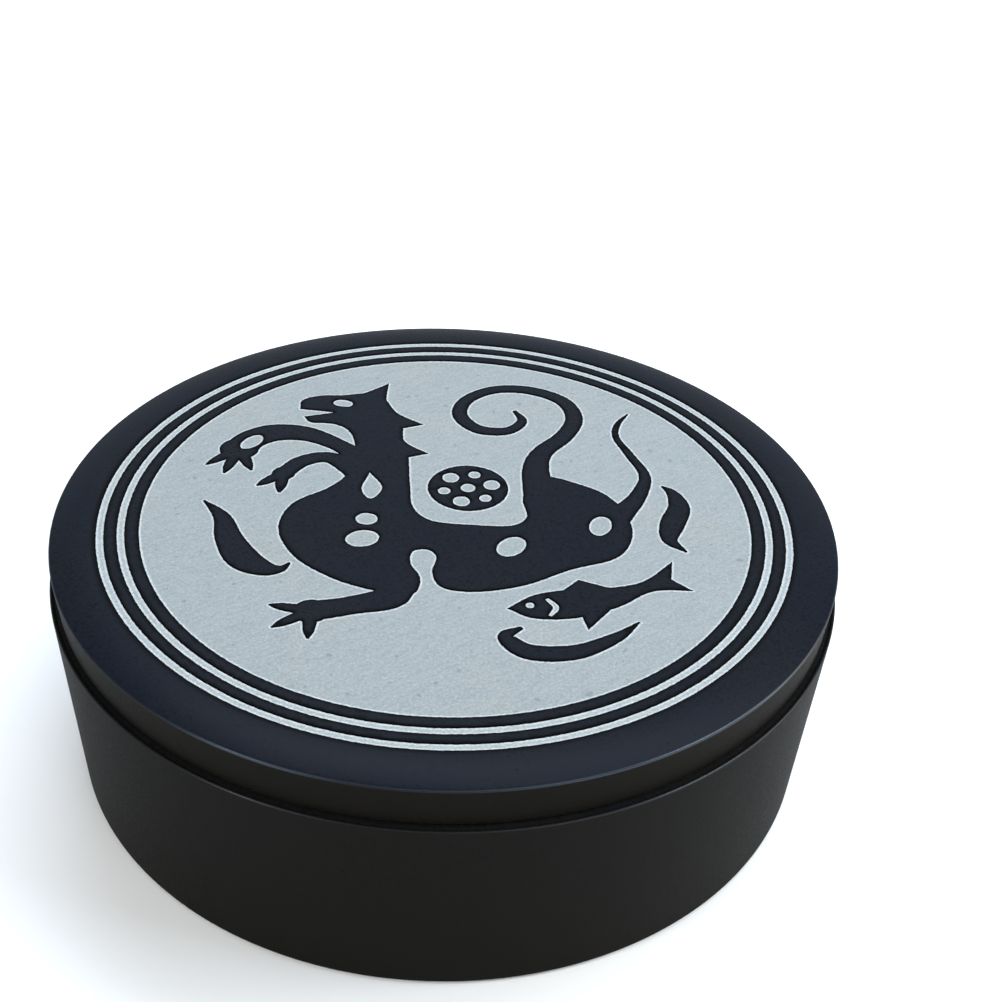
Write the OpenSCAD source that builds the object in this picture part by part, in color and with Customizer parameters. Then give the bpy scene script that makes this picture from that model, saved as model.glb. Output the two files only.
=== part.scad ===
// Round lidded ink slab, turned from dark slate.
// Origin: centre of the underside. +Z up. Millimetres.

/* [Body] */
// Diameter across the top edge of the body
body_top_d = 134.2; // [134:0.1:138]
// Diameter across the foot of the body
body_foot_d = 129.0; // [126:0.1:134]
// Height of the body up to the seat that the lid rests on
body_h = 35.8; // [32:0.1:42]
// Width of the bevel round the foot
foot_bevel = 0.8; // [0.2:0.1:1.5]
// Width of the foot ring that the body stands on
foot_ring_w = 9; // [6:0.5:14]
// Depth of the hollow inside the foot ring
foot_recess = 1.2; // [0.5:0.1:2]

/* [Rim] */
// Outer diameter of the lip that rises into the lid
lip_d = 123.4; // [122:0.1:124]
// Height of the lip above the seat
lip_h = 2.7; // [1.5:0.1:3.5]
// Width of the seat that the lid rests on
seat_w = 3.3; // [2.5:0.1:3.5]
// Width of the gutter outside the seat
gutter_w = 1.3; // [0.8:0.1:1.4]
// Depth of the gutter
gutter_depth = 0.5; // [0.3:0.1:2]
// Width of the small bevels on the rim and the lid
edge_bevel = 0.3; // [0.1:0.05:0.4]

/* [Lid] */
// Diameter across the lid's widest edge
lid_d = 133.0; // [132:0.1:133.6]
// Height of the lid from its seat to its top
lid_h = 8.0; // [6:0.1:12]
// How far the lid's side leans in towards its lower edge
lid_lean = 0.7; // [0:0.1:0.9]
// Diameter of the flat part of the top
flat_top_d = 120; // [119.5:0.5:125]
// How far the top falls between its flat part and the edge
crown_drop = 0.8; // [0.3:0.1:1.5]
// Width of the bevel round the top edge
lid_bevel = 0.5; // [0.2:0.1:1]
// Gap all round between the lip and the lid
lid_gap = 0.3; // [0.15:0.05:0.5]
// Gap above the lip under the lid
lid_head_gap = 0.5; // [0.2:0.1:1]

/* [Ink well] */
// Diameter of the well
well_d = 112.0; // [108:0.5:114]
// Radius of the corner between the well's wall and the grinding face
well_cove = 4; // [2:0.5:5]
// How far the wall leans out at the mouth
mouth_flare = 1.5; // [0.5:0.1:2]
// Height of the grinding face above the foot
floor_z = 21.0; // [16:0.5:26]
// Diameter of the grinding face
grinding_d = 94.0; // [88:0.5:96]
// How far the grinding face sits off centre, away from the pool
grinding_shift = 12.0; // [11:0.5:14]
// Width of the bank from the grinding face down into the pool
bank_w = 4; // [2:0.5:6]
// Height of the pool's bottom above the foot
pool_z = 12.0; // [8:0.5:14]
// Radius of the corner between the pool's wall and its bottom
pool_cove = 6; // [3:0.5:6]

/* [Etched top] */
// Diameter of the pale field
field_d = 103.6; // [96:0.1:106]
// Diameter at the middle of the inner ring line
ring_1_d = 109.6; // [108:0.1:112]
// Diameter at the middle of the outer ring line
ring_2_d = 116.4; // [114:0.1:118]
// Width of each ring line
ring_w = 1.2; // [0.6:0.1:1.4]
// Depth of the etching
etch_depth = 0.5; // [0.4:0.05:0.8]
// Thickness of the pale fill at the bottom of the etching
fill_t = 0.3; // [0.1:0.05:0.4]
// Size of the beast against its drawn size
motif_scale = 0.98; // [0.8:0.01:1]

/* [Hidden] */
$fn = 96;

slate = [0.13, 0.14, 0.155];
chalk = [0.72, 0.77, 0.79];

body_r = body_top_d / 2;
foot_r = body_foot_d / 2;
lid_r = lid_d / 2;
lid_foot_r = lid_r - lid_lean;
top_z = body_h + lid_h;

lip_r = lip_d / 2;
lip_top_z = body_h + lip_h;
seat_r = lip_r + seat_w;
recess_r = lip_r + lid_gap;
recess_h = lip_h + lid_head_gap;

well_r = well_d / 2;
mouth_r = well_r + mouth_flare;
mouth_taper_h = 3;
mound_h = floor_z - pool_z;
cut_over = 2;

flat_top_r = flat_top_d / 2;
crown_run = lid_r - lid_bevel - flat_top_r;
crown_arc = (crown_run * crown_run + crown_drop * crown_drop) / (2 * crown_drop);

// Steps from one control point of a curve to the next.
curve_steps = 5;
// Corners of an oval.
oval_corners = 16;

// Middle and radius of the round token between the neck and the tail.
token = [3.5, 8.0, 7.2];
token_dots_r = 4.4;
token_dots = 6;

// Curves. A control point is [x, y] on a smooth stretch and [x, y, 1] at a sharp corner.

function spot(p) = [p[0], p[1]];
function is_corner(p) = len(p) > 2;

// Slope of the curve where it leaves (side = 1) or reaches (side = -1) point i.
function slope(pts, i, side) =
    let (
        n = len(pts),
        here = spot(pts[i]),
        next = spot(pts[(i + 1) % n]),
        last = spot(pts[(i + n - 1) % n])
    )
    is_corner(pts[i]) ? (side > 0 ? next - here : here - last) : (next - last) / 2;

function blend(a, b, sa, sb, t) =
    (2 * t * t * t - 3 * t * t + 1) * a + (t * t * t - 2 * t * t + t) * sa
    + (3 * t * t - 2 * t * t * t) * b + (t * t * t - t * t) * sb;

// Points of the closed curve through the control points.
function loop_points(pts) = [
    for (i = [0 : len(pts) - 1], k = [0 : curve_steps - 1])
        let (j = (i + 1) % len(pts))
        blend(spot(pts[i]), spot(pts[j]), slope(pts, i, 1), slope(pts, j, -1), k / curve_steps)
];

// A stroke's control point is [x, y, half width].
function stroke_slope(s, i) =
    i == 0 ? s[1] - s[0] : i == len(s) - 1 ? s[i] - s[i - 1] : (s[i + 1] - s[i - 1]) / 2;

function stroke_line(s) = [
    for (i = [0 : len(s) - 2], k = [0 : curve_steps - 1])
        blend(s[i], s[i + 1], stroke_slope(s, i), stroke_slope(s, i + 1), k / curve_steps),
    s[len(s) - 1]
];

function side_points(line, side) = [
    for (i = [0 : len(line) - 1])
        let (
            a = line[max(i - 1, 0)],
            b = line[min(i + 1, len(line) - 1)],
            d = [b[0] - a[0], b[1] - a[1]] / norm([b[0] - a[0], b[1] - a[1]])
        )
        [line[i][0] - side * d[1] * line[i][2], line[i][1] + side * d[0] * line[i][2]]
];

function reversed(list) = [for (i = [len(list) - 1 : -1 : 0]) list[i]];

module blob(pts) {
    polygon(loop_points(pts));
}

module stroke(pts) {
    line = stroke_line(pts);
    polygon(concat(side_points(line, 1), reversed(side_points(line, -1))));
}

module pad(p) {
    translate([p[0], p[1]]) circle(p[2]);
}

module oval(x, y, a, b, turn) {
    polygon([
        for (k = [0 : oval_corners - 1])
            let (u = k * 360 / oval_corners, c = cos(turn), s = sin(turn))
            [x + a * cos(u) * c - b * sin(u) * s, y + a * cos(u) * s + b * sin(u) * c]
    ]);
}

// The beast, drawn flat. The dark parts stand at the level of the lid's top.

// A paw is a round pad with claws, each from the pad's middle to its own tip.
module paw(x, y, r, tips) {
    pad([x, y, r]);
    for (t = tips)
        stroke([[x, y, 1.3], [(x + 2 * t[0]) / 3, (y + 2 * t[1]) / 3, 1.0], [t[0], t[1], 0.2]]);
}

module torso() {
    blob([
        [-17.7, 15.0], [-17.4, 20.6], [-18.8, 25.6], [-21.8, 28.0], [-26.2, 28.4],
        [-27.6, 30.4, 1], [-22.0, 32.2, 1], [-28.6, 33.0, 1], [-28.4, 36.4], [-25.0, 38.2],
        [-20.8, 38.6], [-16.8, 39.6, 1], [-12.2, 43.6, 1], [-12.4, 37.4, 1], [-10.0, 32.6],
        [-5.0, 28.8, 1], [-8.8, 27.2, 1], [-8.2, 22.6], [-3.8, 18.8, 1], [-7.4, 17.4, 1],
        [-6.8, 8.0], [-6.0, 1.4], [-2.6, -2.4], [4.5, -3.3], [11.0, -3.2],
        [13.8, -0.4], [13.2, 5.0], [14.6, 11.0], [18.0, 12.4], [22.8, 10.6],
        [28.2, 7.0], [31.6, 0.6], [31.8, -6.4], [28.6, -12.0], [20.8, -15.6],
        [13.0, -20.2], [5.0, -22.3], [-0.6, -21.3], [-2.3, -17.2], [-1.7, -13.0],
        [-3.2, -11.0], [-5.7, -11.6], [-5.9, -15.0], [-4.2, -19.0], [-5.4, -23.4],
        [-11.0, -22.8], [-18.4, -19.8], [-25.4, -14.0], [-28.9, -6.0], [-27.2, 1.6],
        [-21.6, 6.6], [-18.6, 10.6]
    ]);
}

module tail() {
    stroke([
        [16.4, 4.0, 3.0], [15.8, 14.4, 2.5], [17.2, 20.4, 2.0], [21.4, 26.2, 1.8], [23.6, 32.6, 1.7],
        [21.6, 38.8, 1.6], [15.6, 42.4, 1.5], [8.6, 42.4, 1.4], [3.2, 38.4, 1.4],
        [1.8, 32.6, 1.5], [5.2, 27.8, 1.5], [10.6, 27.4, 1.3], [13.6, 31.0, 1.0], [12.2, 34.8, 0.4]
    ]);
}

module forelegs() {
    stroke([
        [-15.0, 15.0, 2.6], [-20.0, 20.4, 1.9], [-26.4, 24.2, 2.4], [-32.4, 24.4, 2.9],
        [-36.4, 22.0, 3.1], [-38.4, 18.6, 3.2]
    ]);
    paw(-38.4, 18.6, 3.6, [[-43.8, 13.0], [-40.2, 10.4], [-35.4, 11.6]]);
    stroke([[-15.0, 11.0, 3.0], [-21.4, 16.4, 1.8], [-26.4, 15.2, 1.8], [-29.6, 11.0, 1.8]]);
    paw(-29.6, 11.0, 2.1, [[-34.0, 6.8], [-29.8, 4.8]]);
}

module hind_foot() {
    stroke([[-8.6, -17.0, 2.8], [-8.6, -23.8, 3.0], [-15.0, -26.6, 2.4], [-21.4, -28.4, 2.6]]);
    paw(-21.4, -28.4, 3.0, [[-28.4, -27.0], [-27.4, -32.8], [-21.4, -35.4]]);
}

module ribbon() {
    stroke([
        [27.4, -5.0, 2.4], [30.8, 1.6, 2.2], [33.8, 6.8, 1.6], [35.6, 13.4, 1.1], [33.4, 20.2, 0.9],
        [31.2, 26.4, 0.7], [31.8, 31.0, 0.6], [34.0, 34.8, 0.2]
    ]);
}

module clouds() {
    stroke([
        [-42.6, 1.8, 0.2], [-38.9, -3.0, 1.5], [-36.9, -9.2, 2.4], [-33.9, -14.8, 2.9],
        [-30.2, -17.4, 2.1], [-27.4, -17.4, 1.0], [-26.0, -15.6, 0.2]
    ]);
    stroke([
        [38.4, 10.4, 0.2], [40.2, 8.0, 1.2], [40.9, 3.6, 2.0], [39.2, -1.6, 2.2],
        [38.4, -6.2, 1.4], [41.0, -9.6, 0.2]
    ]);
    stroke([
        [31.4, -29.0, 0.2], [27.2, -33.2, 1.2], [20.6, -37.0, 1.8], [13.4, -37.2, 1.9],
        [9.8, -33.6, 1.4], [12.4, -31.2, 0.4]
    ]);
}

module fish() {
    blob([
        [10.0, -26.4, 1], [14.6, -22.6], [21.0, -20.8], [27.6, -20.0], [33.0, -18.0],
        [38.2, -12.4, 1], [37.6, -17.4, 1], [41.0, -20.4, 1], [34.2, -20.9], [28.4, -25.2],
        [21.4, -28.4], [14.4, -28.8]
    ]);
    polygon([[18.6, -22.0], [22.0, -18.2], [28.4, -20.6]]);
    polygon([[22.0, -27.4], [23.0, -31.4], [28.0, -24.6]]);
}

module token_holes() {
    translate([token[0], token[1]]) {
        circle(1.3);
        for (k = [0 : token_dots - 1])
            rotate(k * 360 / token_dots + 15) pad([token_dots_r, 0, k % 2 == 0 ? 1.5 : 1.1]);
    }
}

module dark_motif() {
    torso();
    tail();
    forelegs();
    hind_foot();
    ribbon();
    clouds();
    fish();
    pad(token);
}

// Pale spots inside the dark parts.
module pale_spots() {
    token_holes();
    oval(-20.6, 35.6, 1.9, 1.2, -10);
    oval(-36.4, 21.0, 2.7, 1.5, 55);
    blob([[-14.2, 12.0, 1], [-11.8, 7.4], [-13.6, 3.8], [-15.4, 6.8]]);
    oval(-14.0, -2.4, 1.9, 1.7, 0);
    oval(-14.4, -8.2, 2.9, 2.3, 20);
    oval(11.0, -9.4, 3.1, 2.2, 55);
    oval(26.6, -2.6, 2.9, 1.9, 75);
    pad([13.8, -25.4, 0.7]);
    stroke([[16.6, -23.6, 0.3], [18.0, -25.8, 0.5], [17.0, -28.0, 0.3]]);
}

module pale_ground() {
    difference() {
        circle(field_d / 2);
        scale(motif_scale) dark_motif();
    }
    scale(motif_scale) pale_spots();
}

module ring_line(d) {
    difference() {
        circle(d / 2 + ring_w / 2);
        circle(d / 2 - ring_w / 2);
    }
}

// Sub-parts.

// A round hollow with an upright wall, a flat bottom and a rounded corner between them.
module hollow(r, z, cove, h) {
    rotate_extrude() {
        translate([0, z]) square([r - cove, h]);
        translate([0, z + cove]) square([r, h - cove]);
        intersection() {
            translate([r - cove, z + cove]) circle(cove);
            translate([0, z]) square([r, cove]);
        }
    }
}

// Radius of the body's leaning side at height z.
function side_r(z) = foot_r + (body_r - foot_r) * z / body_h;

module body_blank() {
    foot_in_r = foot_r - foot_ring_w;
    rotate_extrude() polygon([
        [0, foot_recess], [foot_in_r - foot_recess, foot_recess], [foot_in_r, 0],
        [foot_r - foot_bevel, 0], [side_r(foot_bevel), foot_bevel],
        [side_r(body_h - edge_bevel), body_h - edge_bevel], [body_r - edge_bevel, body_h],
        [seat_r + gutter_w, body_h - gutter_depth], [seat_r, body_h - gutter_depth], [seat_r, body_h],
        [lip_r, body_h], [lip_r, lip_top_z - edge_bevel], [lip_r - edge_bevel, lip_top_z],
        [mouth_r, lip_top_z], [well_r - 1, lip_top_z - mouth_taper_h], [0, lip_top_z - mouth_taper_h]
    ]);
}

// The pool is what the mound under the grinding face leaves of a deeper hollow.
module pool() {
    slope = bank_w / mound_h;
    rise = well_cove + cut_over;
    difference() {
        hollow(well_r, pool_z, pool_cove, mound_h + rise);
        translate([0, -grinding_shift, pool_z - cut_over])
            cylinder(
                h = cut_over + mound_h + rise + cut_over,
                r1 = grinding_d / 2 + bank_w + slope * cut_over,
                r2 = grinding_d / 2 - slope * (rise + cut_over)
            );
    }
}

module body() {
    color(slate) difference() {
        body_blank();
        hollow(well_r, floor_z, well_cove, lip_top_z - floor_z + cut_over);
        pool();
    }
}

module lid_blank() {
    edge_z = top_z - crown_drop;
    rotate_extrude() intersection() {
        polygon([
            [0, body_h + recess_h], [recess_r, body_h + recess_h], [recess_r, body_h + edge_bevel],
            [recess_r + edge_bevel, body_h], [lid_foot_r - edge_bevel, body_h],
            [lid_foot_r, body_h + edge_bevel], [lid_r, edge_z - lid_bevel],
            [lid_r - lid_bevel, edge_z], [lid_r - lid_bevel, top_z], [0, top_z]
        ]);
        union() {
            square([flat_top_r, top_z]);
            translate([flat_top_r, top_z - crown_arc]) circle(crown_arc);
        }
    }
}

module lid() {
    color(slate) difference() {
        lid_blank();
        translate([0, 0, top_z - etch_depth]) linear_extrude(etch_depth + cut_over) {
            pale_ground();
            ring_line(ring_1_d);
            ring_line(ring_2_d);
        }
    }
}

module fill() {
    color(chalk) translate([0, 0, top_z - etch_depth]) linear_extrude(fill_t) children();
}

module ground_inlay() {
    fill() pale_ground();
}

module inner_ring_inlay() {
    fill() ring_line(ring_1_d);
}

module outer_ring_inlay() {
    fill() ring_line(ring_2_d);
}

body();
lid();
ground_inlay();
inner_ring_inlay();
outer_ring_inlay();
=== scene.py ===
"""A round lidded ink slab of dark slate, with an etched and colour-filled top. Lengths are in metres."""
import math

import bpy
from mathutils import Matrix, Vector, kdtree, noise
from mathutils.geometry import delaunay_2d_cdt


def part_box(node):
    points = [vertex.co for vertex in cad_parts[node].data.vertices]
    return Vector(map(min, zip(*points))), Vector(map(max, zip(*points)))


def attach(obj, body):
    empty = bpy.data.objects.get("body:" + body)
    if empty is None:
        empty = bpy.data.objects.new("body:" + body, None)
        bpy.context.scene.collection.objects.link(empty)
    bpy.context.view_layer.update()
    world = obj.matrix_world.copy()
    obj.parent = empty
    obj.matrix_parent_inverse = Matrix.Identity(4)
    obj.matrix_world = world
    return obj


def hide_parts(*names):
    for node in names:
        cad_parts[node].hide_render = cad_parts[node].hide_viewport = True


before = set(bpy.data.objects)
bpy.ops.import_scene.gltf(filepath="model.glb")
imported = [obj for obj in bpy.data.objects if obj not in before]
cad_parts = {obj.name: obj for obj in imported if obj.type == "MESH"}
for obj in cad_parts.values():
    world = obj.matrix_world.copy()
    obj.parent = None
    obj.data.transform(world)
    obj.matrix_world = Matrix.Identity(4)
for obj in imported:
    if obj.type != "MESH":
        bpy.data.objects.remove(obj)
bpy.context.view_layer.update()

MM = 0.001

# ---------------------------------------------------------------- sizes, from the frame

BODY_LOW, BODY_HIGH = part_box("body")
LID_LOW, LID_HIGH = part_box("lid")
FIELD_LOW, FIELD_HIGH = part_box("ground_inlay")

BODY_R = BODY_HIGH.x
LID_R = LID_HIGH.x
SEAT_Z = LID_LOW.z
LIP_TOP_Z = BODY_HIGH.z
TOP_Z = LID_HIGH.z
FILL_Z = FIELD_HIGH.z
ETCH_Z = FIELD_LOW.z
RING_RS = [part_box(n)[1].x for n in ("inner_ring_inlay", "outer_ring_inlay")]

# Radii and heights that the boxes don't give.
FOOT_R = 64.5 * MM
FOOT_IN_R = 55.5 * MM
FOOT_RECESS = 1.2 * MM
FOOT_BEVEL = 0.8 * MM
SEAT_R = 65.0 * MM
GUTTER_R = 66.3 * MM
GUTTER_DEPTH = 0.5 * MM
LIP_R = 61.7 * MM
MOUTH_R = 57.5 * MM
WELL_R = 56.0 * MM
WELL_TOP_Z = 36.7 * MM
WELL_COVE = 4 * MM
GRINDING_Z = 21 * MM
GRINDING_R = 47 * MM
MOUND_Y = -12 * MM
BANK_W = 4 * MM
POOL_Z = 12 * MM
POOL_COVE = 6 * MM
RING_W = 1.2 * MM
FLAT_TOP_R = 60 * MM
CROWN_DROP = 0.8 * MM
LID_ARRIS = 0.5 * MM
LID_LEAN = 0.7 * MM
LID_RECESS_R = 62.0 * MM
LID_CEILING_Z = 39.0 * MM
ARRIS = 0.3 * MM

# The outlines of the two stones start at this share of their first radius, and a cap closes them.
CORE_SHARE = 0.02

FLOOR_R = 1.25
FLOOR_Z = -0.05 * MM

# Fineness of the meshes.
AROUND = 384
ARC_STEP = math.radians(10)
OUTLINE_STEP = 2.0 * MM
SHARP_ANGLE = math.radians(35)
CORNER_ANGLE = math.radians(34)
RIM_STEP = 0.35 * MM
FILL_STEP = 0.9 * MM

# The etching's rims: how rough they are, how far they are rounded down, how wide the rounded edge on the dark
# side is, how far the painted shade on the dark side reaches, how wide the painted highlight on the pale side
# is, and how much lighter the ring lines are all over.
RIM_GRAIN = 0.55 * MM
RIM_ROUGHNESS = 0.09 * MM
EDGE_DROP = 0.17 * MM
DARK_EDGE = 0.22 * MM
DARK_SHADE_REACH = 0.75 * MM
PALE_EDGE = 0.40 * MM
LINE_TONE = 0.12

# Wear of the arrises, with a painted glint in its lighter colour: its share all round, and the middle and
# half width of the places where it is most, which are where the arrises glint.
WEAR_AND_GLINT_ALL_ROUND = 0.25
WORN_AND_GLINT_PLACES = [(303, 20), (245, 8)]
BODY_WEAR_AND_GLINT = 0.6
LID_WEAR_AND_GLINT = 1.0


# ---------------------------------------------------------------- camera, light and floor

def set_camera():
    """A close view from in front and above, a little rolled."""
    back, up = 235.7 * MM, 209.0 * MM
    pan, tilt, roll = math.radians(2.19), math.radians(34.57), math.radians(2.9)
    ahead = Vector((math.sin(pan) * math.cos(tilt), math.cos(pan) * math.cos(tilt), -math.sin(tilt)))
    right = Vector((math.cos(pan), -math.sin(pan), 0))
    above = right.cross(ahead)
    x_axis = math.cos(roll) * right + math.sin(roll) * above
    y_axis = -math.sin(roll) * right + math.cos(roll) * above
    data = bpy.data.cameras.new("camera")
    data.sensor_width = 36
    data.lens = 60.44
    data.clip_start = 0.01
    data.clip_end = 20
    cam = bpy.data.objects.new("camera", data)
    turn = Matrix((x_axis, y_axis, -ahead)).transposed().to_4x4()
    cam.matrix_world = Matrix.Translation((0, -back, up)) @ turn
    bpy.context.scene.collection.objects.link(cam)
    bpy.context.scene.camera = cam


def add_panel(name, toward, distance, size, radiance, colour):
    """A soft rectangular light in the given direction, facing the object."""
    data = bpy.data.lights.new(name, "AREA")
    data.shape = "RECTANGLE"
    data.size, data.size_y = size
    data.energy = radiance * math.pi * size[0] * size[1]
    data.color = colour
    panel = bpy.data.objects.new(name, data)
    panel.location = Vector(toward).normalized() * distance
    panel.rotation_euler = (-panel.location).to_track_quat("-Z", "Y").to_euler()
    panel.visible_camera = False
    bpy.context.scene.collection.objects.link(panel)


def set_light():
    """A cool sky overhead, a strip of it behind, a soft front light and side lights."""
    add_panel("sky_panel", (0.16, 0.44, 0.88), 1.3, (1.3, 0.55), 7.6, (0.74, 0.85, 1.0))
    add_panel("back_panel", (0.0, 0.90, 0.43), 1.6, (2.4, 0.6), 0.9, (0.60, 0.80, 1.0))
    add_panel("front_panel", (0.0, -0.65, 0.76), 1.5, (1.6, 0.8), 2.6, (1.0, 0.98, 0.95))
    add_panel("left_panel", (-0.66, -0.46, 0.60), 1.2, (0.2, 0.2), 18.0, (0.86, 0.94, 1.0))
    add_panel("right_lamp", (0.74, -0.17, 0.64), 1.2, (0.5, 0.3), 13.0, (0.76, 0.89, 1.0))
    add_panel("right_panel", (0.92, 0.18, 0.32), 1.2, (0.6, 0.8), 4.6, (1.0, 0.92, 0.78))


def set_world():
    """A studio that is white near the horizon, where it meets the floor, and grey above."""
    horizon, above = (1.0, 1.0, 1.0, 1), (0.38, 0.39, 0.39, 1)
    white_up_to, grey_from = 0.08, 0.28
    world = bpy.data.worlds.new("studio")
    world.use_nodes = True
    tree = world.node_tree
    split = tree.nodes.new("ShaderNodeSeparateXYZ")
    rise = tree.nodes.new("ShaderNodeMapRange")
    mix = tree.nodes.new("ShaderNodeMix")
    rise.interpolation_type = "SMOOTHSTEP"
    mix.data_type = "RGBA"
    rise.inputs["From Min"].default_value = white_up_to
    rise.inputs["From Max"].default_value = grey_from
    mix.inputs[6].default_value = horizon
    mix.inputs[7].default_value = above
    tree.links.new(tree.nodes.new("ShaderNodeTexCoord").outputs["Generated"], split.inputs[0])
    tree.links.new(split.outputs["Z"], rise.inputs["Value"])
    tree.links.new(rise.outputs["Result"], mix.inputs[0])
    tree.links.new(mix.outputs[2], tree.nodes["Background"].inputs["Color"])
    bpy.context.scene.world = world
    bpy.context.scene.view_settings.view_transform = "Standard"


# ---------------------------------------------------------------- materials

class Nodes:
    """Short calls to build one material."""

    def __init__(self, name):
        self.material = bpy.data.materials.new(name)
        self.material.use_nodes = True
        self.tree = self.material.node_tree
        self.shader = self.tree.nodes["Principled BSDF"]

    def add(self, kind, **values):
        node = self.tree.nodes.new(kind)
        for key, value in values.items():
            setattr(node, key, value)
        return node

    def link(self, source, target):
        self.tree.links.new(source, target)

    def grain(self, size, detail=3.0, rough=0.6, stretch=(1, 1, 1), turn=0.0):
        """Noise whose grains are size metres across, drawn out by stretch along axes turned about Z."""
        mapping = self.add("ShaderNodeMapping", vector_type="TEXTURE")
        mapping.inputs["Scale"].default_value = [size * s for s in stretch]
        mapping.inputs["Rotation"].default_value = (0, 0, math.radians(turn))
        self.link(self.add("ShaderNodeTexCoord").outputs["Object"], mapping.inputs["Vector"])
        node = self.add("ShaderNodeTexNoise")
        node.inputs["Scale"].default_value = 1.0
        node.inputs["Detail"].default_value = detail
        node.inputs["Roughness"].default_value = rough
        self.link(mapping.outputs["Vector"], node.inputs["Vector"])
        return node.outputs["Fac"]

    def spread(self, value, low, high, to_low=0.0, to_high=1.0):
        """The value rescaled so that low to high becomes to_low to to_high, and clamped."""
        node = self.add("ShaderNodeMapRange")
        for key, number in zip(("From Min", "From Max", "To Min", "To Max"), (low, high, to_low, to_high)):
            node.inputs[key].default_value = number
        self.link(value, node.inputs["Value"])
        return node.outputs["Result"]

    def blend(self, share, a, b, how="MIX"):
        """Mix of two colours, each a tuple or a socket. share is a number or a socket."""
        node = self.add("ShaderNodeMix", data_type="RGBA", blend_type=how)
        for socket, value in ((node.inputs[0], share), (node.inputs[6], a), (node.inputs[7], b)):
            if isinstance(value, bpy.types.NodeSocket):
                self.link(value, socket)
            else:
                socket.default_value = value if isinstance(value, float) else (*value, 1)
        return node.outputs[2]

    def combine(self, a, b, how):
        """A Math node on two numbers, each a number or a socket."""
        node = self.add("ShaderNodeMath", operation=how)
        for socket, value in zip(node.inputs, (a, b)):
            if isinstance(value, bpy.types.NodeSocket):
                self.link(value, socket)
            else:
                socket.default_value = value
        return node.outputs[0]

    def attribute(self, name):
        """The number that each vertex carries under this name."""
        return self.add("ShaderNodeAttribute", attribute_name=name).outputs["Fac"]

    def bump(self, height, depth, strength, below=None):
        """A normal with the relief of height, on top of the normal below."""
        node = self.add("ShaderNodeBump")
        node.inputs["Strength"].default_value = strength
        node.inputs["Distance"].default_value = depth
        self.link(height, node.inputs["Height"])
        if below is not None:
            self.link(below, node.inputs["Normal"])
        return node.outputs["Normal"]


def slate(name, base, tint, side_shade, worn_and_glinting):
    """Honed slate: close grain, faint clouds of another tint, tiny pits, and a painted shade colour for
    upright sides, darker and warmer than the tops because of how light falls on them.
    Where the per-vertex number is above nought the stone is smooth and lighter: rubbed wear, with a painted
    glint in the lighter colour. Where it is below, it is rough and dark: the dark is painted shade along the
    etching's rims."""
    n = Nodes(name)
    facing = n.add("ShaderNodeSeparateXYZ")
    n.link(n.add("ShaderNodeTexCoord").outputs["Normal"], facing.inputs[0])
    clouds = n.spread(n.grain(14 * MM, 3.0), 0.35, 0.65)
    close = n.grain(0.5 * MM, 3.0, 0.7)
    pits = n.spread(n.grain(1.1 * MM, 2.0), 0.70, 0.76)
    wear_glint_and_shade = n.attribute("wear_glint_and_shade")
    polish_and_glint = n.spread(wear_glint_and_shade, 0.1, 0.7)
    broken_and_shaded = n.spread(wear_glint_and_shade, 0.0, -0.8)
    dark = tuple(0.05 * c for c in base)
    # Faces turned upright take the painted side shade; faces that look up keep the base and tint.
    level = n.spread(facing.outputs["Z"], 0.3, 0.8)
    colour = n.blend(level, side_shade, n.blend(clouds, base, tint))
    colour = n.blend(n.spread(close, 0.35, 0.7, 0.0, 0.5), colour, (2.4, 2.4, 2.4), "MULTIPLY")
    colour = n.blend(n.combine(pits, 0.4, "MULTIPLY"), colour, dark)
    # Painted highlight: the worn arrises are lighter, and lightest where they glint; the smoother coat there
    # is wear.
    colour = n.blend(polish_and_glint, colour, worn_and_glinting)
    # Painted shade: the dark stone turns darker still towards the etching's rims, a shadow line along the
    # etched wall.
    colour = n.blend(broken_and_shaded, colour, dark)
    n.link(colour, n.shader.inputs["Base Color"])
    smoother = n.combine(level, 0.27, "MULTIPLY")
    rougher = n.combine(broken_and_shaded, 0.4, "MULTIPLY")
    rough = n.combine(n.spread(close, 0.3, 0.7, 0.50, 0.68), smoother, "SUBTRACT")
    n.link(n.combine(rough, rougher, "ADD"), n.shader.inputs["Roughness"])
    n.shader.inputs["Specular IOR Level"].default_value = 0.04
    n.link(n.combine(polish_and_glint, 0.6, "MULTIPLY"), n.shader.inputs["Coat Weight"])
    n.shader.inputs["Coat Roughness"].default_value = 0.2
    fine = n.bump(close, 0.022 * MM, 0.8)
    n.link(n.bump(pits, 0.03 * MM, 0.5, fine), n.shader.inputs["Normal"])
    return n.material


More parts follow.
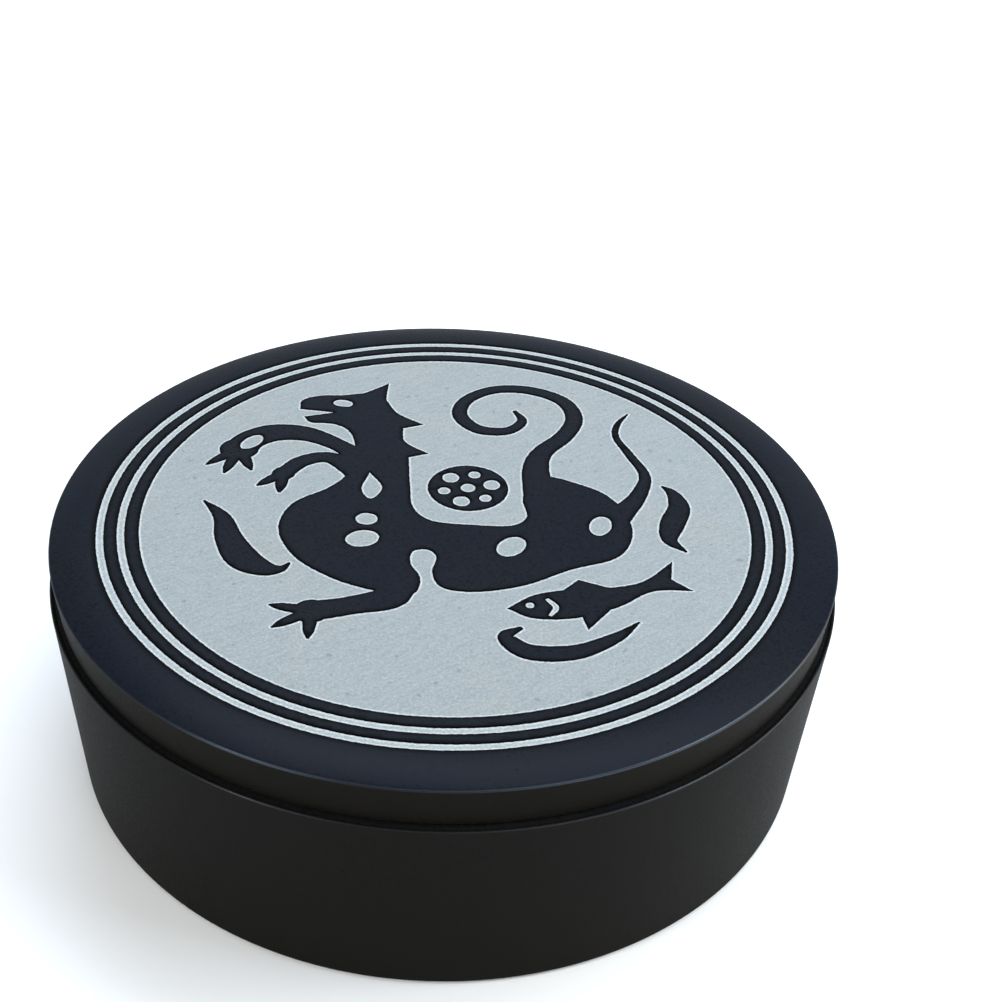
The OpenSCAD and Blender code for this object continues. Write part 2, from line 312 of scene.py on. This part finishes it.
def pale_fill(name):
    """Matt mineral colour rubbed into the etching: slanting streaks, grain, specks and faint warm patches.
    It is brighter by as much as "edge" says: a painted highlight along its rims, and the ring lines lighter
    all over."""
    n = Nodes(name)
    patches = n.spread(n.grain(16 * MM, 2.0), 0.5, 0.72, 0.0, 0.6)
    streaks = n.grain(0.6 * MM, 2.0, 0.6, (4.5, 1, 1), 36)
    close = n.grain(0.45 * MM, 3.0, 0.7)
    specks = n.spread(n.grain(1.5 * MM, 1.0, 0.4), 0.69, 0.75, 0.0, 0.6)
    colour = n.blend(patches, (0.236, 0.257, 0.262), (0.260, 0.260, 0.244))
    colour = n.blend(n.spread(streaks, 0.32, 0.60, 0.5, 0.0), colour, (0.170, 0.196, 0.204))
    colour = n.blend(n.spread(close, 0.45, 0.75, 0.0, 0.6), colour, (0.376, 0.404, 0.406))
    colour = n.blend(n.spread(close, 0.25, 0.45, 0.5, 0.0), colour, (0.158, 0.187, 0.196))
    colour = n.blend(specks, colour, (0.137, 0.160, 0.176))
    # Painted highlight: a bright line along each rim of the fill, and the ring lines lighter all over.
    edge = n.spread(n.attribute("edge"), 0.0, 0.45)
    rim_highlight = n.combine(edge, n.spread(close, 0.3, 0.7, 0.1, 1.0), "MULTIPLY")
    colour = n.blend(rim_highlight, colour, (0.51, 0.54, 0.545))
    n.link(colour, n.shader.inputs["Base Color"])
    n.link(n.spread(close, 0.3, 0.7, 0.62, 0.8), n.shader.inputs["Roughness"])
    n.shader.inputs["Specular IOR Level"].default_value = 0.3
    fine = n.bump(close, 0.03 * MM, 0.5)
    n.link(n.bump(streaks, 0.04 * MM, 0.5, fine), n.shader.inputs["Normal"])
    return n.material


def paper_floor(name):
    """Plain pale paper with the faintest clouds."""
    n = Nodes(name)
    clouds = n.spread(n.grain(160 * MM, 2.0), 0.3, 0.7)
    n.link(n.blend(clouds, (0.91, 0.91, 0.91), (0.93, 0.93, 0.93)), n.shader.inputs["Base Color"])
    n.shader.inputs["Roughness"].default_value = 0.9
    n.shader.inputs["Specular IOR Level"].default_value = 0.1
    return n.material


# ---------------------------------------------------------------- mesh helpers

def rounded(corners):
    """Points of an open outline whose corner i, (r, z, radius), is rounded off with that radius."""
    points = []
    for i, (r, z, radius) in enumerate(corners):
        here = Vector((r, z))
        if radius == 0 or i in (0, len(corners) - 1):
            points.append(here)
            continue
        back = Vector(corners[i - 1][:2]) - here
        ahead = Vector(corners[i + 1][:2]) - here
        turn = back.angle(ahead)
        reach = min(radius / math.tan(turn / 2), 0.49 * back.length, 0.49 * ahead.length)
        radius = reach * math.tan(turn / 2)
        middle = here + (back.normalized() + ahead.normalized()).normalized() * radius / math.sin(turn / 2)
        start = here + back.normalized() * reach - middle
        sweep = start.angle_signed(here + ahead.normalized() * reach - middle)
        steps = max(3, round(abs(sweep) / ARC_STEP))
        for k in range(steps + 1):
            points.append(middle + Matrix.Rotation(-sweep * k / steps, 2) @ start)
    return points


def closer(points):
    """The outline with its long straight parts cut into equal steps, and a short step at either end."""
    out = [points[0]]
    margin = 0.25 * MM
    for a, b in zip(points, points[1:]):
        length = (b - a).length
        shares = [1.0]
        if length > 4 * margin:
            n = math.ceil(length / OUTLINE_STEP)
            shares = [margin / length] + [k / n for k in range(1, n)] + [1 - margin / length, 1.0]
        out += [a.lerp(b, share) for share in shares]
    return out


def angles():
    return [2 * math.pi * k / AROUND for k in range(AROUND)]


def circle(r, z):
    return [(r * math.cos(a), r * math.sin(a), z) for a in angles()]


class Shape:
    """A mesh under construction: vertices, faces and one number per vertex: wear with painted glint and
    painted shade, or the fill's edge tone, a painted highlight.
    """

    def __init__(self):
        self.verts = []
        self.faces = []
        self.tone = []

    def ring(self, points, tone=0.0):
        """New vertices, all with one tone. Returns their numbers."""
        first = len(self.verts)
        self.verts += points
        self.tone += [tone] * len(points)
        return list(range(first, first + len(points)))

    def band(self, a, b):
        """Quads between two rings of equal length. Seen from outside, b lies to the left of a's direction."""
        n = len(a)
        self.faces += [(a[k], a[(k + 1) % n], b[(k + 1) % n], b[k]) for k in range(n)]

    def cap(self, ring, point, up):
        """Triangles from a ring to one middle point."""
        middle = self.ring([point])[0]
        n = len(ring)
        for k in range(n):
            a, b = ring[k], ring[(k + 1) % n]
            self.faces.append((a, b, middle) if up else (b, a, middle))

    def lathe(self, outline, tones):
        """A ring for each outline point, with its tone of wear and painted glint, shared out round the stone.
        Returns the rings.
        """
        rings = [self.ring(circle(p.x, p.y)) for p in outline]
        for ring, tone in zip(rings, tones):
            for i, angle in zip(ring, angles()):
                self.tone[i] = tone * rubbed_and_glinting(angle)
        for a, b in zip(rings, rings[1:]):
            self.band(a, b)
        return rings

    def piece(self, name, material, tone_name, body, node):
        """The finished mesh as a visible piece that rides on a body and replaces a node of the frame."""
        mesh = bpy.data.meshes.new(name)
        mesh.from_pydata(self.verts, [], self.faces)
        mesh.validate()
        mesh.shade_smooth()
        mesh.set_sharp_from_angle(angle=SHARP_ANGLE)
        mesh.attributes.new(tone_name, "FLOAT", "POINT").data.foreach_set("value", self.tone)
        mesh.materials.append(material)
        obj = bpy.data.objects.new(name, mesh)
        bpy.context.scene.collection.objects.link(obj)
        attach(obj, body)
        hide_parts(node)


def wear_and_glint_of(outline, amount, low_z=-1.0, high_z=1.0):
    """Wear and painted glint along an outline: the amount where it turns round an outer corner between two
    heights.
    """
    tones = [0.0]
    for a, b, c in zip(outline, outline[1:], outline[2:]):
        turn = (b - a).angle_signed(c - b, 0.0)
        worn_and_glinting = low_z <= b.y <= high_z and turn < -0.75 * ARC_STEP
        tones.append(amount if worn_and_glinting else 0.0)
    return tones + [0.0]


def rubbed_and_glinting(angle):
    """Share of the full wear and painted glint at an angle round the stone."""
    most = max(math.exp(-(((math.degrees(angle) - middle) / wide) ** 2)) for middle, wide in WORN_AND_GLINT_PLACES)
    return WEAR_AND_GLINT_ALL_ROUND + (1 - WEAR_AND_GLINT_ALL_ROUND) * most


# ---------------------------------------------------------------- body

def smooth_min(a, b, width):
    """The lower of two heights, blended where they are less than width apart."""
    share = min(1.0, max(0.0, 0.5 + 0.5 * (b - a) / width))
    return b + (a - b) * share - width * share * (1 - share)


def smooth_max(a, b, width):
    return -smooth_min(-a, -b, width)


def dish(r, floor, cove):
    """Height at r of a flat floor whose corner at the well's wall is a quarter round."""
    over = max(0.0, min(cove, r - (WELL_R - cove)))
    return floor + cove - math.sqrt(cove * cove - over * over)


def well_height(x, y):
    """Height of the stone under a point of the well: grinding face, bank and pool."""
    r = min(WELL_R, math.hypot(x, y))
    from_mound = math.hypot(x, y - MOUND_Y)
    mound = POOL_Z + (GRINDING_R + BANK_W - from_mound) * (GRINDING_Z - POOL_Z) / BANK_W
    low = smooth_max(dish(r, POOL_Z, POOL_COVE), mound, 1.2 * MM)
    return smooth_min(dish(r, GRINDING_Z, WELL_COVE), low, 1.0 * MM)


def ray_stops(length):
    """Distances from the mound's middle at which a ray to the wall is sampled, outermost first."""
    cove = [length - POOL_COVE * (1 - math.cos(math.radians(a))) for a in range(0, 91, 9)]
    bank = [min(length, GRINDING_R + k * 0.5 * MM) for k in range(-3, 12)]
    face = [length * k / 12 for k in range(1, 11)]
    stops = sorted(cove + bank + face, reverse=True)
    for k in range(1, len(stops)):
        stops[k] = min(stops[k], stops[k - 1] - 0.03 * MM)
    return stops


def add_well(shape, mouth):
    """The wall below the mouth ring, and the grinding face with the pool."""
    wall_xy = [(WELL_R * math.cos(a), WELL_R * math.sin(a)) for a in angles()]
    foot = [well_height(x, y) for x, y in wall_xy]
    last = mouth
    for share in (0.25, 0.5, 0.75, 0.9, 1.0):
        ring = shape.ring([(x, y, WELL_TOP_Z + (z - WELL_TOP_Z) * share) for (x, y), z in zip(wall_xy, foot)])
        shape.band(last, ring)
        last = ring
    lengths = [math.hypot(x, y - MOUND_Y) for x, y in wall_xy]
    stops = [ray_stops(length) for length in lengths]
    for k in range(1, len(stops[0])):
        points = []
        for (x, y), length, row in zip(wall_xy, lengths, stops):
            share = row[k] / length
            px, py = x * share, MOUND_Y + (y - MOUND_Y) * share
            points.append((px, py, well_height(px, py)))
        ring = shape.ring(points)
        shape.band(last, ring)
        last = ring
    shape.cap(last, (0, MOUND_Y, GRINDING_Z), True)


def side_r(z):
    """Radius of the body's leaning side at height z."""
    return FOOT_R + (BODY_R - FOOT_R) * z / SEAT_Z


def make_body(material):
    """The slab: a lathed outside with the foot ring, crest, gutter, seat and lip, and the well inside it."""
    corners = [
        (FOOT_IN_R * CORE_SHARE, FOOT_RECESS, 0),
        (FOOT_IN_R - FOOT_RECESS, FOOT_RECESS, 0.8 * MM),
        (FOOT_IN_R, 0, 0.4 * MM),
        (FOOT_R - FOOT_BEVEL, 0, 0.4 * MM),
        (side_r(FOOT_BEVEL), FOOT_BEVEL, 0.6 * MM),
        (BODY_R, SEAT_Z, 0.4 * MM),
        (GUTTER_R, SEAT_Z - GUTTER_DEPTH, 0.25 * MM),
        (SEAT_R, SEAT_Z - GUTTER_DEPTH, 0.25 * MM),
        (SEAT_R, SEAT_Z, 0.15 * MM),
        (LIP_R, SEAT_Z, 0.2 * MM),
        (LIP_R, LIP_TOP_Z - ARRIS, 0.15 * MM),
        (LIP_R - ARRIS, LIP_TOP_Z, 0.2 * MM),
        (MOUTH_R, LIP_TOP_Z, 0.5 * MM),
        (WELL_R, WELL_TOP_Z, 0),
    ]
    outline = closer(rounded(corners))
    shape = Shape()
    rings = shape.lathe(outline, wear_and_glint_of(outline, BODY_WEAR_AND_GLINT))
    shape.cap(rings[0], (0, 0, FOOT_RECESS), False)
    add_well(shape, rings[-1])
    shape.piece("slab_body", material, "wear_glint_and_shade", "body", "body")


# ---------------------------------------------------------------- etched top

def flat_loops(node):
    """The closed outlines of a CAD node's top face, as lists of 2-D points."""
    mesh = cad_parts[node].data
    top = max(v.co.z for v in mesh.vertices)
    key = {}
    spot = {}
    for v in mesh.vertices:
        if v.co.z > top - 0.01 * MM:
            key[v.index] = (round(v.co.x * 1e6), round(v.co.y * 1e6))
            spot[key[v.index]] = Vector((v.co.x, v.co.y))
    count = {}
    for face in mesh.polygons:
        ids = list(face.vertices)
        if all(i in key for i in ids) and face.normal.z > 0.5:
            for a, b in zip(ids, ids[1:] + ids[:1]):
                edge = (key[a], key[b])
                count[edge] = count.get(edge, 0) + 1
    after = {a: b for a, b in count if (b, a) not in count and a != b}
    loops = []
    while after:
        start = min(after)
        loop = [start]
        at = after.pop(start)
        while at != start:
            loop.append(at)
            at = after.pop(at)
        loops.append([spot[k] for k in loop])
    return loops


def even_circle(middle, r):
    """A circle of points about RIM_STEP apart, with no fewer than 24."""
    n = max(24, round(2 * math.pi * r / RIM_STEP))
    turns = [2 * math.pi * k / n for k in range(n)]
    return [middle + Vector((r * math.cos(a), r * math.sin(a))) for a in turns]


def smoothed(loop):
    """The loop as a smooth curve through its points, with its real corners kept."""
    n = len(loop)
    middle = sum(loop, Vector((0, 0))) / n
    far = [(p - middle).length for p in loop]
    if max(far) - min(far) < 0.02 * max(far):
        left_turning = sum(a.cross(b) for a, b in zip(loop, loop[1:] + loop[:1])) > 0
        return even_circle(middle, max(far))[:: 1 if left_turning else -1]
    corner = []
    for i in range(n):
        turn = (loop[i] - loop[i - 1]).angle(loop[(i + 1) % n] - loop[i], 0.0)
        corner.append(turn > CORNER_ANGLE)
    out = []
    for i in range(n):
        a, b = loop[i], loop[(i + 1) % n]
        chord = b - a
        lean_a = chord if corner[i] else (b - loop[i - 1]).normalized() * chord.length
        lean_b = chord if corner[(i + 1) % n] else (loop[(i + 2) % n] - a).normalized() * chord.length
        steps = max(1, round(chord.length / RIM_STEP))
        for k in range(steps):
            t = k / steps
            out.append(
                (2 * t**3 - 3 * t**2 + 1) * a + (t**3 - 2 * t**2 + t) * lean_a
                + (3 * t**2 - 2 * t**3) * b + (t**3 - t**2) * lean_b
            )
    return out


def roughened(loop):
    """The loop with the fine unevenness of a blasted edge."""
    n = len(loop)
    out = []
    for i, p in enumerate(loop):
        along = (loop[(i + 1) % n] - loop[i - 1]).normalized()
        push = noise.noise(Vector((p.x, p.y, 0)) / RIM_GRAIN) * RIM_ROUGHNESS
        out.append(p + Vector((along.y, -along.x)) * push)
    return out


def beside(loop, distance, rims):
    """The loop moved to its left by distance, and less where another rim is near."""
    n = len(loop)
    out = []
    for i, p in enumerate(loop):
        into = (p - loop[i - 1]).normalized()
        away = (loop[(i + 1) % n] - p).normalized()
        left = Vector((-into.y - away.y, into.x + away.x))
        left = left.normalized() if left.length > 0.1 else Vector((-into.y, into.x))
        step = distance
        while step > 0.1 * distance:
            q = p + left * step
            if rims.find((q.x, q.y, 0))[2] > 0.75 * step:
                out.append(q)
                break
            step *= 0.6
    return out


def fill_points(r, step):
    """Even points over a disc, every other row shifted."""
    rows = int(r / (step * 0.87))
    points = []
    for j in range(-rows, rows + 1):
        for i in range(-int(r / step) - 1, int(r / step) + 2):
            p = Vector(((i + 0.5 * (j % 2)) * step, j * step * 0.87))
            if p.length < r:
                points.append(p)
    return points


def cut_top():
    """Triangles of the lid's flat top, parted by the etching's rims. Returns the points, the triangles, the
    edges on a rim, the points on the outer border, each point's distance from a rim, and which stay high."""
    rims = [smoothed(loop) for loop in flat_loops("ground_inlay")]
    for r in RING_RS:
        rims.append(even_circle(Vector((0, 0)), r))
        rims.append(even_circle(Vector((0, 0)), r - RING_W)[::-1])
    rims = [roughened(loop) for loop in rims]
    spots = [p for loop in rims for p in loop]
    near = kdtree.KDTree(len(spots))
    for i, p in enumerate(spots):
        near.insert((p.x, p.y, 0), i)
    near.balance()

    points, edges = [], []

    def add_loop(loop):
        first = len(points)
        points.extend(loop)
        edges.extend((first + k, first + (k + 1) % len(loop)) for k in range(len(loop)))

    add_loop([Vector(p[:2]) for p in circle(FLAT_TOP_R, 0)])
    outside = len(edges)
    for loop in rims:
        add_loop(loop)
    rim_edges = len(edges)
    for loop in rims:
        add_loop(beside(loop, PALE_EDGE, near))
        add_loop(beside(loop[::-1], DARK_EDGE, near))
    for p in fill_points(FLAT_TOP_R - FILL_STEP, FILL_STEP):
        if near.find((p.x, p.y, 0))[2] > 0.6 * FILL_STEP:
            points.append(p)
    flat, cut, faces, from_points, from_edges, _ = delaunay_2d_cdt(points, edges, [], 1, 1e-8, True)
    rim = {frozenset(e) for e, ids in zip(cut, from_edges) if any(outside <= i < rim_edges for i in ids)}
    gap = [near.find((p.x, p.y, 0))[2] for p in flat]
    border = {}
    for i, ids in enumerate(from_points):
        border.update((k, i) for k in ids if k < AROUND)
    return flat, faces, rim, border, gap, is_dark(faces, rim, border)


def is_dark(faces, rim, border):
    """Whether each triangle stands at the top: true at the border, and changing at each rim."""
    beside_edge = {}
    for f, face in enumerate(faces):
        for edge in sides(face):
            beside_edge.setdefault(frozenset(edge), []).append(f)
    first = beside_edge[frozenset((border[0], border[1]))][0]
    dark = {first: True}
    waiting = [first]
    while waiting:
        f = waiting.pop()
        for edge in map(frozenset, sides(faces[f])):
            for g in beside_edge[edge]:
                if g not in dark:
                    dark[g] = dark[f] != (edge in rim)
                    waiting.append(g)
    return [dark[f] for f in range(len(faces))]


def sides(face):
    """The edges of a face, in its order."""
    return list(zip(face, face[1:] + face[:1]))


def add_plate(shape, flat, faces, rim, height, shared, tone):
    """Triangles at height(point, whether on a rim), with a wall down to the etching's floor along each rim.
    shared holds vertices that are there already. Returns the vertices at the walls' feet."""
    top, foot = dict(shared), {}

    def lay(found, i, z):
        if i not in found:
            found[i] = shape.ring([(flat[i].x, flat[i].y, z)], tone(i))[0]
        return found[i]

    on_rim = {i for edge in rim for i in edge}
    for face in faces:
        shape.faces.append(tuple(lay(top, i, height(i, i in on_rim)) for i in face))
        for a, b in sides(face):
            if frozenset((a, b)) in rim:
                low_a, low_b = lay(foot, a, ETCH_Z), lay(foot, b, ETCH_Z)
                shape.faces.append((top[b], top[a], low_a, low_b))
    return foot


def add_etched_floor(shape, flat, faces, foot, up):
    """Triangles on the etching's floor, joined to the feet of its walls."""
    for face in faces:
        for i in face:
            if i not in foot:
                foot[i] = shape.ring([(flat[i].x, flat[i].y, ETCH_Z)])[0]
        shape.faces.append(tuple(foot[i] for i in (face if up else reversed(face))))


def make_lid(material, top):
    """The lid: a lathed rim and recess, and the etched top."""
    flat, faces, rim, border, gap, dark = top
    edge_z = TOP_Z - CROWN_DROP
    run = LID_R - FLAT_TOP_R
    crown = (run * run + CROWN_DROP * CROWN_DROP) / (2 * CROWN_DROP)
    corners = [
        (LID_RECESS_R * CORE_SHARE, LID_CEILING_Z, 0),
        (LID_RECESS_R, LID_CEILING_Z, 0.6 * MM),
        (LID_RECESS_R, SEAT_Z + ARRIS, 0.1 * MM),
        (LID_RECESS_R + ARRIS, SEAT_Z, 0.1 * MM),
        (LID_R - LID_LEAN - ARRIS, SEAT_Z, 0.15 * MM),
        (LID_R - LID_LEAN, SEAT_Z + ARRIS, 0.15 * MM),
        (LID_R, edge_z, LID_ARRIS),
    ]
    for share in (0.9, 0.8, 0.65, 0.5, 0.35, 0.2, 0.1, 0.0):
        out = run * share
        corners.append((FLAT_TOP_R + out, TOP_Z - crown + math.sqrt(crown * crown - out * out), 0))
    outline = closer(rounded(corners))
    shape = Shape()
    rings = shape.lathe(outline, wear_and_glint_of(outline, LID_WEAR_AND_GLINT, SEAT_Z, edge_z + 0.1 * MM))
    shape.cap(rings[0], (0, 0, LID_CEILING_Z), False)
    shared = {i: rings[-1][k] for k, i in border.items()}

    def height(i, on_rim):
        return TOP_Z - EDGE_DROP * on_rim

    # Painted shade: the dark stone is darker towards each etched rim.
    def tone(i):
        return min(0.0, gap[i] / DARK_SHADE_REACH - 1)

    foot = add_plate(shape, flat, [f for f, d in zip(faces, dark) if d], rim, height, shared, tone)
    add_etched_floor(shape, flat, [f for f, d in zip(faces, dark) if not d], foot, True)
    shape.piece("lid_shell", material, "wear_glint_and_shade", "lid", "lid")


def make_fill(material, top):
    """The pale fill on the floor of the etching, one piece for the field and one for each ring line."""
    flat, faces, rim, _, gap, dark = top
    pale = [f for f, d in zip(faces, dark) if not d]
    reach = [(sum((flat[i] for i in f), Vector((0, 0))) / 3).length for f in pale]
    ends = [(FIELD_HIGH.x + RING_RS[0] - RING_W) / 2, (RING_RS[0] + RING_RS[1] - RING_W) / 2, LID_R]
    names = ["ground", "inner_ring", "outer_ring"]
    inner_tones = [0.0, LINE_TONE, LINE_TONE]

    def height(i, on_rim):
        wave = noise.noise(flat[i].to_3d() / (3 * MM)) * 0.02 * MM
        return FILL_Z + (0.03 * MM if on_rim else wave)

    for name, start, end, inner in zip(names, [0.0] + ends, ends, inner_tones):

        # Painted highlight along the fill's rims; the ring lines are lighter all over.
        def tone(i):
            return max(inner, 1 - gap[i] / PALE_EDGE)

        mine = [f for f, r in zip(pale, reach) if start < r < end]
        shape = Shape()
        foot = add_plate(shape, flat, mine, rim, height, {}, tone)
        add_etched_floor(shape, flat, mine, foot, False)
        shape.piece(name + "_fill", material, "edge", "lid", name + "_inlay")


# ---------------------------------------------------------------- floor

def make_floor(material):
    """A round floor at the height that the slab stands on. It ends where its tone meets the studio's."""
    shape = Shape()
    radii = [FLOOR_R * share for share in (1.0, 0.8, 0.6, 0.4, 0.2, 0.1)]
    rings = shape.lathe([Vector((r, FLOOR_Z)) for r in radii], [0.0] * len(radii))
    shape.cap(rings[-1], (0, 0, FLOOR_Z), True)
    mesh = bpy.data.meshes.new("floor")
    mesh.from_pydata(shape.verts, [], shape.faces)
    mesh.materials.append(material)
    obj = bpy.data.objects.new("floor", mesh)
    bpy.context.scene.collection.objects.link(obj)


set_camera()
set_light()
set_world()
make_floor(paper_floor("floor_paper"))
make_body(slate(
    "body_slate",
    base=(0.0064, 0.0066, 0.0070),
    tint=(0.0076, 0.0073, 0.0068),
    side_shade=(0.0046, 0.0043, 0.0037),
    # The arris colour below is rubbed wear lightened into a painted glint.
    worn_and_glinting=(0.016, 0.018, 0.022),
))
top = cut_top()
make_lid(slate(
    "lid_slate",
    # The lid's bluish base is partly the stone's own tone and partly painted sky reflection.
    base=(0.0036, 0.0050, 0.0086),
    tint=(0.0044, 0.0052, 0.0080),
    side_shade=(0.0042, 0.0037, 0.0026),
    # The arris colour below is rubbed wear lightened into a painted glint.
    worn_and_glinting=(0.016, 0.024, 0.036),
), top)
make_fill(pale_fill("pale_mineral"), top)
